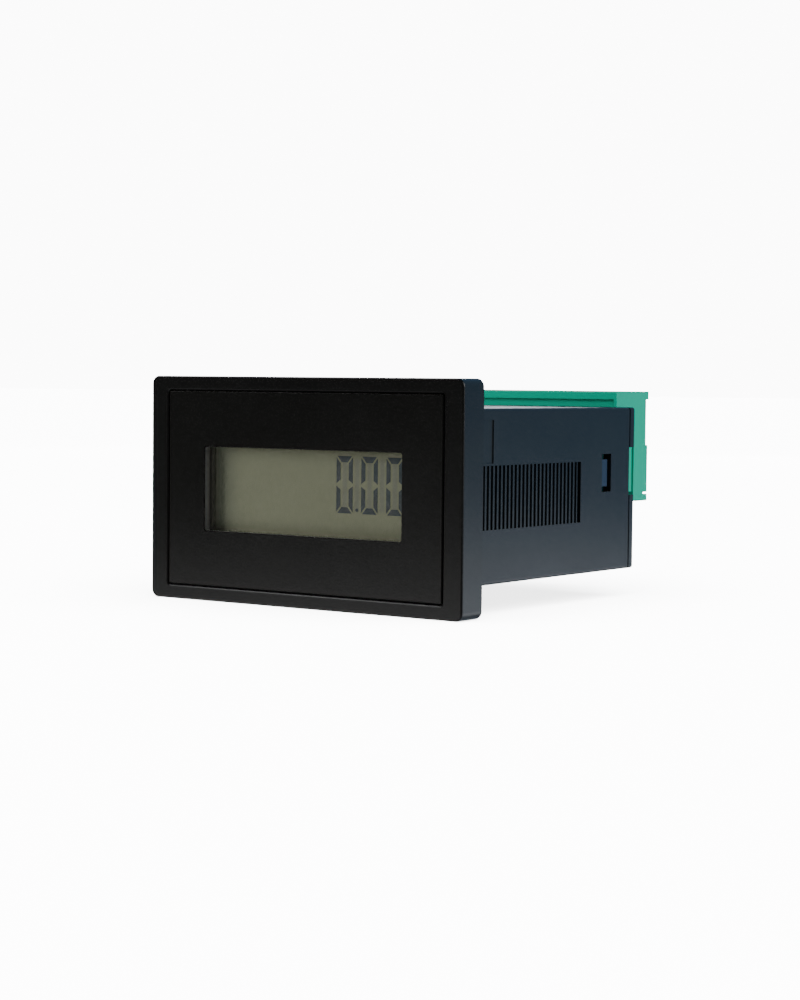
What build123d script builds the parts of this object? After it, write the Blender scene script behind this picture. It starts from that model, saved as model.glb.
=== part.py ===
from build123d import *
import math
import os

# A panel-mount frequency counter. Millimetres. X is to the right, Y runs from the panel's front face
# into the cabinet, and Z is up. The origin is the centre of the panel cut-out, in the plane that the
# bezel's rear face seats on, so the bezel lies at negative Y and the housing at positive Y.

os.makedirs("parts", exist_ok=True)

# ---------------------------------------------------------------- driving dimensions

# Housing sleeve, which passes through the panel's cut-out
housing_width = 67.6
housing_height = 32.9
housing_length = 58.9
housing_wall = 1.8
housing_edge = 0.6
vent_pitch = 1.35
vent_slot = 0.75
vent_last_slot = 1.25
vent_first_y = 5.75
vent_end_gap = 8.4
vent_height = 12.0
vent_middle_z = -0.2
clip_recess_end_y = 8.9
clip_recess_start_y = 1.5
clip_recess_top_gap = 2.15
clip_recess_depth = 0.2

# Bezel, front plate and window
bezel_overlap_x = 3.7
bezel_overlap_z = 5.55
bezel_depth = 6.5
bezel_corner = 1.6
bezel_edge = 0.4
plate_border_x = 4.5
plate_border_z = 2.9
plate_thickness = 1.5
plate_corner = 0.4
plate_inset = 0.1
plate_gap = 0.2
groove_chamfer = 0.25
window_width = 47.7
window_height = 16.6
window_corner = 0.5
lens_overlap = 1.6
lens_thickness = 1.0
lens_inset = 0.15
floor_thickness = 0.7

# Rear cover
cover_wall = 1.5
shadow_gap = 0.4
shadow_depth = 0.5
skirt_length = 4.7
skirt_wall = 1.3
snap_length = 20.0
snap_width = 0.8
snap_height = 0.3

# Gasket
gasket_width = 1.6
gasket_depth = 1.2
gasket_offset = 0.9

# Display
foam_thickness = 0.3
foam_setback = 0.5
glass_thickness = 1.1
glass_border_x = 2.15
ledge_height = 2.5
rear_glass_border = 0.5
reflector_thickness = 0.2
holder_back = 2.5
holder_wall = 0.75
strip_height = 1.9
strip_end_gap = 1.0

# Boards, carrier and latches
board_thickness = 1.6
display_board_border = 1.0
carrier_thickness = 1.6
carrier_border_x = 6.6
carrier_border_z = 4.45
boss_radius = 2.2
boss_inset_z = 3.15
main_board_top = -1.2
main_board_lead = 0.3
main_board_gap_y = 0.1
rail_wall = 1.6
rail_thickness = 1.6
rail_bite = 0.9
rail_end_gap = 2.2
arm_thickness = 1.2
arm_height = 5.4
arm_barrel_radius = 0.6
arm_gap = 0.25
hook_setback = 10.55
hook_land = 2.15
hook_ramp = 0.9
hook_sink = 0.2
window_margin_y = 0.35
window_margin_z = 1.1

# Link between the two boards
link_count = 8
link_pitch = 2.54
link_pin = 0.64
link_rise = 1.3
link_socket_length = 8.5
link_socket_height = 2.4
link_end = 1.3
link_gap = 0.8
link_body_length = 2.5
link_bend = 1.8
link_reach = 5.6
link_tail = 1.6

# Chips with leads on four sides
chip_side = 9.0
chip_height = 1.3
chip_standoff = 0.1
lead_count = 9
lead_pitch = 0.8
lead_width = 0.35
lead_reach = 1.1
lead_metal = 0.2
driver_x = 16.0
driver_z = 2.0

# Parts on the main board that keep their distance behind its front edge: X, distance
mcu_place = (-10.0, 18.4)
crystal_place = (-22.0, 15.4)
capacitor_places = [(19.0, 17.4), (19.0, 27.4)]
regulator_place = (8.0, 21.4)
front_diode_place = (8.0, 12.4)
resistor_rows = (7.9, 10.9, 27.4, 30.4)
resistor_columns = (-20.0, -14.0, -8.0, -2.0)

# Parts that keep their distance in front of the terminal header: X, distance
choke_place = (8.0, 10.4)
optocoupler_places = [(-22.0, 8.4), (-12.0, 8.4), (-2.0, 6.4)]
rear_diode_places = [(18.0, 5.9), (25.0, 5.9)]

# Their sizes
crystal_size = (10.2, 4.0, 3.4)
capacitor_radius = 4.0
capacitor_height = 11.5
capacitor_edge = 0.4
choke_radius = 4.5
choke_height = 7.5
choke_flange = 1.2
choke_core_radius = 3.0
regulator_size = (6.5, 6.1, 2.3)
regulator_tab = (5.2, 2.4, 0.5)
optocoupler_size = (6.4, 4.6, 3.5)
optocoupler_lead = 0.9
diode_size = (4.3, 2.6, 2.2)
resistor_size = (3.2, 1.6, 0.6)

# Screws through the display board
screw_radius = 1.1
screw_length = 7.2
screw_head_radius = 2.0
screw_head_height = 1.4
screw_slot_width = 0.5
screw_slot_depth = 0.6

# Terminal header and plug
pole_count = 11
pole_pitch = 5.08
header_end_wall = 1.1
header_wall = 1.1
header_height = 9.3
header_back = 2.4
header_length = 11.9
header_sink = 2.5
pin_size = 1.0
pin_reach = 9.9
pin_tail = 2.2
plug_end_wall = 3.9
plug_rise = 11.25
plug_lip_height = 1.65
plug_lip_reach = 1.0
plug_lip_front = 1.2
plug_end_web = 0.6
plug_cover_gap = 0.4
plug_foot_drop = 2.04
plug_foot_depth = 5.75
plug_foot_step = 0.7
plug_corner = 0.6
plug_edge = 0.3
label_slit = 0.43
label_slit_depth = 1.7
label_slit_rise = 1.38
undercut_height = 6.0

# Clamps inside the plug
cage_inner_x = 2.9
cage_side_wall = 0.6
cage_height = 5.6
cage_floor = 0.8
cage_thread_wall = 1.5
wire_space = 2.4
clamp_travel = 2.0
chamber_front_wall = 2.3
clamp_rise = 5.4
clamp_screw_radius = 1.25
clamp_head_radius = 1.85
clamp_head_height = 1.3
clamp_head_sink = 0.35
clamp_slot_width = 0.6
clamp_slot_depth = 0.7
shoulder_wall = 0.4
wire_hole_radius = 1.4
wire_funnel_radius = 1.9
strip_metal = 0.8
contact_width = 2.4
socket_wall = 0.4
probe_width = 1.4
probe_height = 2.2
probe_depth = 1.0

# Clearances
slide_clear = 0.15
turn_clear = 0.05
close_clear = 0.1
seat_clear = 0.2
thread_clear = 0.02
hole_clear = 0.25

# ---------------------------------------------------------------- places that follow from them

bezel_width = housing_width + 2 * bezel_overlap_x
bezel_height = housing_height + 2 * bezel_overlap_z
face_y = -bezel_depth
plate_front_y = face_y + plate_inset
plate_back_y = plate_front_y + plate_thickness
lens_back_y = plate_back_y + lens_thickness
floor_back_y = lens_back_y + floor_thickness
lcd_front_y = floor_back_y + foam_thickness
lcd_split_y = lcd_front_y + glass_thickness
lcd_back_y = lcd_split_y + glass_thickness
reflector_back_y = lcd_back_y + reflector_thickness
display_board_y = reflector_back_y + holder_back
display_board_back_y = display_board_y + board_thickness
carrier_back_y = display_board_back_y + carrier_thickness

plate_width = bezel_width - 2 * plate_border_x
plate_height = bezel_height - 2 * plate_border_z
lens_width = window_width + 2 * lens_overlap
lens_height = window_height + 2 * lens_overlap
pane_width = window_width - 2 * close_clear
pane_height = window_height - 2 * close_clear
pane_corner = window_corner - close_clear
inner_x = housing_width / 2 - housing_wall
inner_z = housing_height / 2 - housing_wall
gasket_inner_x = housing_width / 2 + gasket_offset
gasket_inner_z = housing_height / 2 + gasket_offset

glass_width = window_width + 2 * glass_border_x
rear_glass_height = window_height + 2 * rear_glass_border
front_glass_height = rear_glass_height + 2 * ledge_height
strip_middle_z = rear_glass_height / 2 + ledge_height / 2
strip_length = glass_width - 2 * strip_end_gap
holder_x = glass_width / 2 + close_clear + holder_wall
holder_z = front_glass_height / 2 + close_clear + holder_wall
boss_x = holder_x + slide_clear + boss_radius
boss_z = inner_z - boss_inset_z

link_z = main_board_top + link_rise
link_body_start_y = display_board_back_y + link_socket_length + link_gap
link_back_y = link_body_start_y + link_body_length + link_bend
link_tip_y = display_board_back_y + link_socket_length - link_reach
link_hole_y = link_back_y - link_pin / 2

main_board_bottom = main_board_top - board_thickness
main_board_start_y = link_body_start_y - main_board_lead
cover_back_y = housing_length + shadow_gap + cover_wall
skirt_start_y = housing_length - skirt_length
skirt_x = inner_x - close_clear
skirt_z = inner_z - close_clear
snap_y = skirt_start_y + 2 * snap_width
display_board_x = inner_x - display_board_border
display_board_z = inner_z - display_board_border
carrier_x = inner_x - 2 * seat_clear
carrier_z = inner_z - seat_clear
rail_inner_x = carrier_x - rail_thickness
board_edge_x = rail_inner_x + rail_bite
rail_bottom = main_board_bottom - rail_wall
rail_top = main_board_top + rail_wall
rail_end_y = skirt_start_y - rail_end_gap
main_board_end_y = housing_length - main_board_gap_y
main_board_tail_x = skirt_x - skirt_wall - 2 * seat_clear

arm_outer_x = inner_x - arm_gap
arm_inner_x = arm_outer_x - arm_thickness
arm_bottom = rail_top + arm_gap
arm_top = arm_bottom + arm_height
arm_hinge_x = arm_outer_x - arm_barrel_radius
arm_hinge_y = carrier_back_y + seat_clear + arm_barrel_radius
hook_tip_x = housing_width / 2 - hook_sink
hook_front_y = housing_length - hook_setback
hook_end_y = hook_front_y + hook_land + hook_ramp
latch_window_y = (hook_front_y - close_clear, hook_end_y + window_margin_y)
latch_window_z = (arm_bottom - window_margin_z, arm_top + window_margin_z)
vent_z = (vent_middle_z - vent_height / 2, vent_middle_z + vent_height / 2)
vent_steps = int((latch_window_y[0] - vent_end_gap - vent_first_y) / vent_pitch)
clip_recess_z = (vent_z[1] + 2 * seat_clear, housing_height / 2 - clip_recess_top_gap)

header_bottom = main_board_top
header_top = header_bottom + header_height
header_start_y = housing_length - header_sink
header_end_y = header_start_y + header_length
pole_span = (pole_count - 1) * pole_pitch
pin_z = (header_bottom + header_top) / 2
plug_x = pole_span / 2 + plug_end_wall
cavity_x = plug_x - 2 * slide_clear - header_end_wall
header_x = cavity_x + header_end_wall
cavity_bottom = header_bottom + header_wall
cavity_top = header_top - header_wall
cavity_start_y = header_start_y + header_back
pin_tip_y = header_start_y + pin_reach
pin_bend_y = header_start_y - seat_clear - pin_size
pin_hole_y = pin_bend_y + pin_size / 2
pin_hole_radius = math.hypot(pin_size, pin_size) / 2 + close_clear

plug_shoulder_z = header_top + 2 * slide_clear
plug_top_z = plug_shoulder_z + plug_rise
lip_bottom_z = plug_top_z - plug_lip_height
undercut_bottom_z = lip_bottom_z - undercut_height
undercut_x = plug_x - plug_end_web
plug_foot_z = header_bottom - plug_foot_drop
label_slit_z = plug_foot_z + label_slit_rise
foot_front_y = header_end_y + seat_clear
foot_back_y = foot_front_y + plug_foot_depth
probe_y = foot_back_y - probe_depth
nose_x = cavity_x - slide_clear
nose_bottom = cavity_bottom + slide_clear
nose_top = cavity_top - slide_clear
nose_start_y = cavity_start_y + 2 * seat_clear

plug_front_y = cover_back_y + plug_cover_gap
chamber_x = cage_inner_x / 2 + cage_side_wall + slide_clear
chamber_front_y = plug_front_y + chamber_front_wall
cage_x = cage_inner_x / 2 + cage_side_wall
cage_front_y = chamber_front_y + seat_clear
strip_front_y = cage_front_y + cage_floor + wire_space
strip_back_y = strip_front_y + strip_metal
cage_thread_y = strip_back_y + close_clear
cage_back_y = cage_thread_y + cage_thread_wall
chamber_back_y = cage_back_y + clamp_travel + close_clear
head_seat_y = chamber_back_y + shoulder_wall
head_end_y = head_seat_y + turn_clear + clamp_head_height
plug_back_y = head_end_y + clamp_head_sink
clamp_middle_z = plug_shoulder_z + clamp_rise
clamp_bottom = clamp_middle_z - cage_height / 2
clamp_top = clamp_middle_z + cage_height / 2
wire_y = cage_front_y + cage_floor + wire_space / 2 - close_clear
jog_bottom = plug_shoulder_z + 2 * socket_wall
drop_y = foot_front_y + plug_foot_step
contact_inside = pin_size / 2 + close_clear
contact_socket = contact_inside + socket_wall
contact_tube = contact_socket + close_clear
contact_start_y = nose_start_y + pin_size


# ---------------------------------------------------------------- helpers


def upright(y):
    """The plane across the object at depth y, drawn in X and Z. Extruding by -d goes d deeper."""
    return Plane.XZ.offset(-y)


def block(x, y, z, mode=Mode.ADD):
    """A box in the open builder, from its low and high limits along each axis."""
    centre = [(low + high) / 2 for low, high in (x, y, z)]
    with Locations(tuple(centre)):
        Box(x[1] - x[0], y[1] - y[0], z[1] - z[0], mode=mode)


def rod(x, y, z, radius, mode=Mode.ADD):
    """A cylinder in the open builder along Y, from y[0] to y[1]."""
    with Locations(Location((x, (y[0] + y[1]) / 2, z), (90, 0, 0))):
        Cylinder(radius, y[1] - y[0], mode=mode)


def post(x, y, z, radius, mode=Mode.ADD):
    """A cylinder in the open builder along Z, from z[0] to z[1]."""
    with Locations((x, y, (z[0] + z[1]) / 2)):
        Cylinder(radius, z[1] - z[0], mode=mode)


def from_front(place):
    """A place on the main board, from its X and its distance behind the board's front edge."""
    return place[0], main_board_start_y + place[1]


def from_header(place):
    """A place on the main board, from its X and its distance in front of the terminal header."""
    return place[0], header_start_y - place[1]


def on_board(place, size):
    """A box that stands on the main board, centred at place."""
    x, y = place
    block(
        (x - size[0] / 2, x + size[0] / 2),
        (y - size[1] / 2, y + size[1] / 2),
        (main_board_top, main_board_top + size[2]),
    )


pieces = []


def finish(builder, label):
    """Names a finished piece and keeps it for the export."""
    builder.part.label = label
    pieces.append(builder.part)


corners = [(sx * boss_x, sz * boss_z) for sx in (-1, 1) for sz in (-1, 1)]
poles = [(index - (pole_count - 1) / 2) * pole_pitch for index in range(pole_count)]
link_x = [(index - (link_count - 1) / 2) * link_pitch for index in range(link_count)]
link_half = link_x[-1] + link_end

# ---------------------------------------------------------------- front bezel

with BuildPart() as front_bezel:
    with BuildSketch(upright(face_y)):
        RectangleRounded(bezel_width, bezel_height, bezel_corner)
    extrude(amount=-bezel_depth)
    fillet(front_bezel.edges().group_by(Axis.Y)[0], bezel_edge)
    with BuildSketch(upright(face_y)):
        RectangleRounded(
            plate_width + 2 * plate_gap,
            plate_height + 2 * plate_gap,
            plate_corner + plate_gap,
        )
    extrude(amount=-(plate_back_y - face_y), mode=Mode.SUBTRACT)
    recess_rim = front_bezel.edges().group_by(Axis.Y)[0].filter_by(
        lambda edge: abs(edge.center().X) < plate_width / 2 + 2 * plate_gap
        and abs(edge.center().Z) < plate_height / 2 + 2 * plate_gap
    )
    chamfer(recess_rim, groove_chamfer)
    with BuildSketch(upright(plate_back_y)):
        Rectangle(lens_width + 2 * close_clear, lens_height + 2 * close_clear)
    extrude(amount=-lens_thickness, mode=Mode.SUBTRACT)
    with BuildSketch(upright(lens_back_y)):
        RectangleRounded(window_width, window_height, window_corner)
    extrude(amount=-floor_thickness, mode=Mode.SUBTRACT)
    with BuildSketch(upright(floor_back_y)):
        Rectangle(2 * inner_x, 2 * inner_z)
    extrude(amount=floor_back_y, mode=Mode.SUBTRACT)
    with BuildSketch(upright(-gasket_depth)):
        Rectangle(2 * (gasket_inner_x + gasket_width), 2 * (gasket_inner_z + gasket_width))
        Rectangle(2 * gasket_inner_x, 2 * gasket_inner_z, mode=Mode.SUBTRACT)
    extrude(amount=-gasket_depth, mode=Mode.SUBTRACT)
    for corner_x, corner_z in corners:
        rod(corner_x, (floor_back_y, display_board_y), corner_z, boss_radius)
        rod(
            corner_x,
            (carrier_back_y - screw_length - seat_clear, display_board_y),
            corner_z,
            screw_radius + thread_clear,
            mode=Mode.SUBTRACT,
        )
finish(front_bezel, "front_bezel")

# ---------------------------------------------------------------- front plate

with BuildPart() as front_plate:
    with BuildSketch(upright(plate_front_y)):
        RectangleRounded(plate_width, plate_height, plate_corner)
    extrude(amount=-plate_thickness)
    chamfer(front_plate.edges().group_by(Axis.Y)[0], plate_gap)
    with BuildSketch(upright(plate_front_y)):
        RectangleRounded(window_width, window_height, window_corner)
    extrude(amount=-plate_thickness, mode=Mode.SUBTRACT)
finish(front_plate, "front_plate")

# ---------------------------------------------------------------- display window

with BuildPart() as display_window:
    with BuildSketch(upright(plate_back_y)):
        Rectangle(lens_width, lens_height)
    extrude(amount=-lens_thickness)
    with BuildSketch(upright(plate_front_y + lens_inset)):
        RectangleRounded(pane_width, pane_height, pane_corner)
    extrude(amount=-(plate_thickness - lens_inset))
finish(display_window, "display_window")

# ---------------------------------------------------------------- panel gasket

with BuildPart() as panel_gasket:
    with BuildSketch(upright(-gasket_depth)):
        Rectangle(2 * (gasket_inner_x + gasket_width), 2 * (gasket_inner_z + gasket_width))
        Rectangle(2 * gasket_inner_x, 2 * gasket_inner_z, mode=Mode.SUBTRACT)
    extrude(amount=-gasket_depth)
finish(panel_gasket, "panel_gasket")

# ---------------------------------------------------------------- liquid crystal display

with BuildPart() as lcd_foam_seal:
    with BuildSketch(upright(floor_back_y)):
        Rectangle(glass_width, front_glass_height)
        Rectangle(window_width + 2 * foam_setback, window_height + 2 * foam_setback, mode=Mode.SUBTRACT)
    extrude(amount=-foam_thickness)
finish(lcd_foam_seal, "lcd_foam_seal")

with BuildPart() as lcd_front_glass:
    with BuildSketch(upright(lcd_front_y)):
        Rectangle(glass_width, front_glass_height)
    extrude(amount=-glass_thickness)
finish(lcd_front_glass, "lcd_front_glass")

with BuildPart() as lcd_rear_glass:
    with BuildSketch(upright(lcd_split_y)):
        Rectangle(glass_width, rear_glass_height)
    extrude(amount=-glass_thickness)
finish(lcd_rear_glass, "lcd_rear_glass")

with BuildPart() as lcd_reflector:
    with BuildSketch(upright(lcd_back_y)):
        Rectangle(glass_width - 2 * seat_clear, rear_glass_height - 2 * seat_clear)
    extrude(amount=-reflector_thickness)
finish(lcd_reflector, "lcd_reflector")

with BuildPart() as lcd_holder:
    block((-holder_x, holder_x), (floor_back_y, display_board_y - close_clear), (-holder_z, holder_z))
    with BuildSketch(upright(floor_back_y)):
        Rectangle(glass_width + 2 * close_clear, front_glass_height + 2 * close_clear)
    extrude(amount=floor_back_y - lcd_split_y, mode=Mode.SUBTRACT)
    with BuildSketch(upright(lcd_split_y)):
        Rectangle(glass_width + 2 * close_clear, rear_glass_height + 2 * close_clear)
    extrude(amount=lcd_split_y - reflector_back_y, mode=Mode.SUBTRACT)
    with BuildSketch(upright(lcd_split_y)):
        with Locations((0, strip_middle_z), (0, -strip_middle_z)):
            Rectangle(strip_length + 2 * close_clear, strip_height + 2 * close_clear)
    extrude(amount=lcd_split_y - display_board_y, mode=Mode.SUBTRACT)
finish(lcd_holder, "lcd_holder")

with BuildPart() as zebra_strips:
    with BuildSketch(upright(lcd_split_y)):
        with Locations((0, strip_middle_z), (0, -strip_middle_z)):
            Rectangle(strip_length, strip_height)
    extrude(amount=lcd_split_y - display_board_y)
finish(zebra_strips, "zebra_strips")

# ---------------------------------------------------------------- display board and its chip

with BuildPart() as display_board:
    block(
        (-display_board_x, display_board_x),
        (display_board_y, display_board_back_y),
        (-display_board_z, display_board_z),
    )
    for corner_x, corner_z in corners:
        rod(
            corner_x,
            (display_board_y, display_board_back_y),
            corner_z,
            screw_radius + close_clear,
            mode=Mode.SUBTRACT,
        )
finish(display_board, "display_board")


def flat_chip(x, y, floor, axis):
    """A square chip with leads on four sides, lying on a board: axis "y" faces back, "z" faces up."""
    half = chip_side / 2
    foot = half + lead_reach
    run = [(index - (lead_count - 1) / 2) * lead_pitch for index in range(lead_count)]
    body = (floor + chip_standoff, floor + chip_standoff + chip_height)
    lead = (floor, floor + lead_metal)
    if axis == "y":
        block((x - half, x + half), body, (y - half, y + half))
        for step in run:
            strip = (step - lead_width / 2, step + lead_width / 2)
            block((x - foot, x + foot), lead, (y + strip[0], y + strip[1]))
            block((x + strip[0], x + strip[1]), lead, (y - foot, y + foot))
    else:
        block((x - half, x + half), (y - half, y + half), body)
        for step in run:
            strip = (step - lead_width / 2, step + lead_width / 2)
            block((x - foot, x + foot), (y + strip[0], y + strip[1]), lead)
            block((x + strip[0], x + strip[1]), (y - foot, y + foot), lead)


with BuildPart() as lcd_driver_chip:
    flat_chip(driver_x, driver_z, display_board_back_y, "y")
finish(lcd_driver_chip, "lcd_driver_chip")

# ---------------------------------------------------------------- carrier frame, screws and latch arms

with BuildPart() as carrier_frame:
    block((-carrier_x, carrier_x), (display_board_back_y, carrier_back_y), (-carrier_z, carrier_z))
    block(
        (carrier_border_x - carrier_x, carrier_x - carrier_border_x),
        (display_board_back_y, carrier_back_y),
        (carrier_border_z - carrier_z, carrier_z - carrier_border_z),
        mode=Mode.SUBTRACT,
    )
    for corner_x, corner_z in corners:
        rod(
            corner_x,
            (display_board_back_y, carrier_back_y),
            corner_z,
            screw_radius + close_clear,
            mode=Mode.SUBTRACT,
        )
    for side in (-1, 1):
        rail = sorted((side * rail_inner_x, side * carrier_x))
        groove = sorted((side * rail_inner_x, side * (board_edge_x + close_clear)))
        block(rail, (carrier_back_y, rail_end_y), (rail_bottom, rail_top))
        block(
            groove,
            (carrier_back_y, rail_end_y),
            (main_board_bottom - turn_clear, main_board_top + turn_clear),
            mode=Mode.SUBTRACT,
        )
finish(carrier_frame, "carrier_frame")

with BuildPart() as display_screws:
    for corner_x, corner_z in corners:
        head_back_y = carrier_back_y + screw_head_height
        rod(corner_x, (carrier_back_y - screw_length, carrier_back_y), corner_z, screw_radius)
        rod(corner_x, (carrier_back_y, head_back_y), corner_z, screw_head_radius)
        block(
            (corner_x - screw_head_radius, corner_x + screw_head_radius),
            (head_back_y - screw_slot_depth, head_back_y),
            (corner_z - screw_slot_width / 2, corner_z + screw_slot_width / 2),
            mode=Mode.SUBTRACT,
        )
finish(display_screws, "display_screws")

for side, side_name in ((-1, "left"), (1, "right")):
    with BuildPart() as latch_arm:
        post(side * arm_hinge_x, arm_hinge_y, (arm_bottom, arm_top), arm_barrel_radius)
        with BuildSketch(Plane.XY.offset(arm_bottom)):
            with BuildLine():
                Polyline(
                    (side * arm_inner_x, arm_hinge_y),
                    (side * arm_outer_x, arm_hinge_y),
                    (side * arm_outer_x, hook_front_y),
                    (side * hook_tip_x, hook_front_y),
                    (side * hook_tip_x, hook_front_y + hook_land),
                    (side * arm_outer_x, hook_end_y),
                    (side * arm_inner_x, hook_end_y),
                    close=True,
                )
            make_face()
        extrude(amount=arm_height)
    finish(latch_arm, "latch_arm_" + side_name)

# ---------------------------------------------------------------- housing sleeve

with BuildPart() as housing_sleeve:
    with BuildSketch(upright(0)):
        RectangleRounded(housing_width, housing_height, housing_edge)
        Rectangle(2 * inner_x, 2 * inner_z, mode=Mode.SUBTRACT)
    extrude(amount=-housing_length)
    for side in (-1, 1):
        wall = sorted((side * inner_x, side * housing_width / 2))
        skin = sorted((side * (housing_width / 2 - clip_recess_depth), side * housing_width / 2))
        block(wall, latch_window_y, latch_window_z, mode=Mode.SUBTRACT)
        for step in range(vent_steps + 1):
            slot_y = vent_first_y + step * vent_pitch
            slot_half = (vent_slot if step < vent_steps else vent_last_slot) / 2
            block(wall, (slot_y - slot_half, slot_y + slot_half), vent_z, mode=Mode.SUBTRACT)
        block(skin, (clip_recess_start_y, clip_recess_end_y), clip_recess_z, mode=Mode.SUBTRACT)
        snap_groove = sorted((side * inner_z, side * (inner_z + snap_height)))
        block(
            (-snap_length / 2 - close_clear, snap_length / 2 + close_clear),
            (snap_y - snap_width / 2 - close_clear, snap_y + snap_width / 2 + close_clear),
            snap_groove,
            mode=Mode.SUBTRACT,
        )
finish(housing_sleeve, "housing_sleeve")

# ---------------------------------------------------------------- rear cover

cover_slot_z = (header_bottom - seat_clear, header_top + seat_clear)
rim_start_y = housing_length + shadow_gap

with BuildPart() as rear_cover:
    with BuildSketch(upright(rim_start_y)):
        RectangleRounded(housing_width, housing_height, housing_edge)
    extrude(amount=-cover_wall)
    with BuildSketch(upright(housing_length)):
        Rectangle(housing_width - 2 * shadow_depth, housing_height - 2 * shadow_depth)
    extrude(amount=-shadow_gap)
    with BuildSketch(upright(skirt_start_y)):
        Rectangle(2 * skirt_x, 2 * skirt_z)
        Rectangle(2 * (skirt_x - skirt_wall), 2 * (skirt_z - skirt_wall), mode=Mode.SUBTRACT)
    extrude(amount=-skirt_length)
    block(
        (-housing_width / 2, housing_width / 2),
        (housing_length, cover_back_y),
        cover_slot_z,
        mode=Mode.SUBTRACT,
    )
    for side in (-1, 1):
        bead = sorted((side * skirt_z, side * (inner_z + snap_height - close_clear)))
        block(
            (-snap_length / 2, snap_length / 2),
            (snap_y - snap_width / 2, snap_y + snap_width / 2),
            bead,
        )
finish(rear_cover, "rear_cover")

# ---------------------------------------------------------------- main board and the link between boards

with BuildPart() as main_board:
    block(
        (-board_edge_x, board_edge_x),
        (main_board_start_y, skirt_start_y - seat_clear),
        (main_board_bottom, main_board_top),
    )
    block(
        (-main_board_tail_x, main_board_tail_x),
        (skirt_start_y - seat_clear, main_board_end_y),
        (main_board_bottom, main_board_top),
    )
    for pole_x in poles:
        post(
            pole_x,
            pin_hole_y,
            (main_board_bottom, main_board_top),
            pin_hole_radius,
            mode=Mode.SUBTRACT,
        )
    for pin_x in link_x:
        post(
            pin_x,
            link_hole_y,
            (main_board_bottom, main_board_top),
            link_pin / 2 + hole_clear,
            mode=Mode.SUBTRACT,
        )
finish(main_board, "main_board")

with BuildPart() as board_link_socket:
    block(
        (-link_half, link_half),
        (display_board_back_y, display_board_back_y + link_socket_length),
        (link_z - link_socket_height / 2, link_z + link_socket_height / 2),
    )
    for pin_x in link_x:
        block(
            (pin_x - link_pin / 2 - close_clear, pin_x + link_pin / 2 + close_clear),
            (display_board_back_y + carrier_thickness, display_board_back_y + link_socket_length),
            (link_z - link_pin / 2 - close_clear, link_z + link_pin / 2 + close_clear),
            mode=Mode.SUBTRACT,
        )
finish(board_link_socket, "board_link_socket")

with BuildPart() as board_link_strip:
    block(
        (-link_half, link_half),
        (link_body_start_y, link_body_start_y + link_body_length),
        (main_board_top, link_z + link_socket_height / 2),
    )
    for pin_x in link_x:
        block(
            (pin_x - link_pin / 2, pin_x + link_pin / 2),
            (link_body_start_y, link_body_start_y + link_body_length),
            (link_z - link_pin / 2, link_z + link_pin / 2),
            mode=Mode.SUBTRACT,
        )
finish(board_link_strip, "board_link_strip")

with BuildPart() as board_link_pins:
    for pin_x in link_x:
        width = (pin_x - link_pin / 2, pin_x + link_pin / 2)
        block(width, (link_tip_y, link_back_y), (link_z - link_pin / 2, link_z + link_pin / 2))
        block(
            width,
            (link_back_y - link_pin, link_back_y),
            (main_board_bottom - link_tail, link_z + link_pin / 2),
        )
finish(board_link_pins, "board_link_pins")

# ---------------------------------------------------------------- parts on the main board

with BuildPart() as microcontroller:
    flat_chip(*from_front(mcu_place), main_board_top, "z")
finish(microcontroller, "microcontroller")

with BuildPart() as crystal:
    with BuildSketch(Plane.XY.offset(main_board_top)):
        with Locations(from_front(crystal_place)):
            SlotOverall(crystal_size[0], crystal_size[1])
    extrude(amount=crystal_size[2])
finish(crystal, "crystal")

with BuildPart() as electrolytic_capacitors:
    for place in capacitor_places:
        capacitor_z = (main_board_top, main_board_top + capacitor_height)
        post(*from_front(place), capacitor_z, capacitor_radius)
    fillet(electrolytic_capacitors.edges().group_by(Axis.Z)[-1], capacitor_edge)
finish(electrolytic_capacitors, "electrolytic_capacitors")

with BuildPart() as choke:
    choke_top = main_board_top + choke_height
    choke_middle = from_header(choke_place)
    post(*choke_middle, (main_board_top, choke_top), choke_core_radius)
    post(*choke_middle, (main_board_top, main_board_top + choke_flange), choke_radius)
    post(*choke_middle, (choke_top - choke_flange, choke_top), choke_radius)
finish(choke, "choke")

with BuildPart() as voltage_regulator:
    regulator_x, regulator_y = from_front(regulator_place)
    on_board((regulator_x, regulator_y), regulator_size)
    tab_y = regulator_y + (regulator_size[1] + regulator_tab[1]) / 2
    on_board((regulator_x, tab_y), regulator_tab)
finish(voltage_regulator, "voltage_regulator")

with BuildPart() as optocouplers:
    for place in optocoupler_places:
        middle_x, middle_y = from_header(place)
        on_board((middle_x, middle_y), optocoupler_size)
        lead_span = optocoupler_size[1] + 2 * optocoupler_lead
        for side in (-1, 1):
            lead_x = middle_x + side * link_pitch / 2
            on_board((lead_x, middle_y), (optocoupler_lead, lead_span, lead_metal))
finish(optocouplers, "optocouplers")

with BuildPart() as diodes:
    on_board(from_front(front_diode_place), diode_size)
    for place in rear_diode_places:
        on_board(from_header(place), diode_size)
finish(diodes, "diodes")

with BuildPart() as chip_resistors:
    for resistor_y in resistor_rows:
        for resistor_x in resistor_columns:
            on_board(from_front((resistor_x, resistor_y)), resistor_size)
finish(chip_resistors, "chip_resistors")

# ---------------------------------------------------------------- terminal header and its pins

with BuildPart() as terminal_header:
    block((-header_x, header_x), (header_start_y, header_end_y), (header_bottom, header_top))
    block(
        (-cavity_x, cavity_x),
        (cavity_start_y, header_end_y),
        (cavity_bottom, cavity_top),
        mode=Mode.SUBTRACT,
    )
    for pole_x in poles:
        half = pin_size / 2 + turn_clear
        block(
            (pole_x - half, pole_x + half),
            (header_start_y, cavity_start_y),
            (pin_z - half, pin_z + half),
            mode=Mode.SUBTRACT,
        )
finish(terminal_header, "terminal_header")

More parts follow.
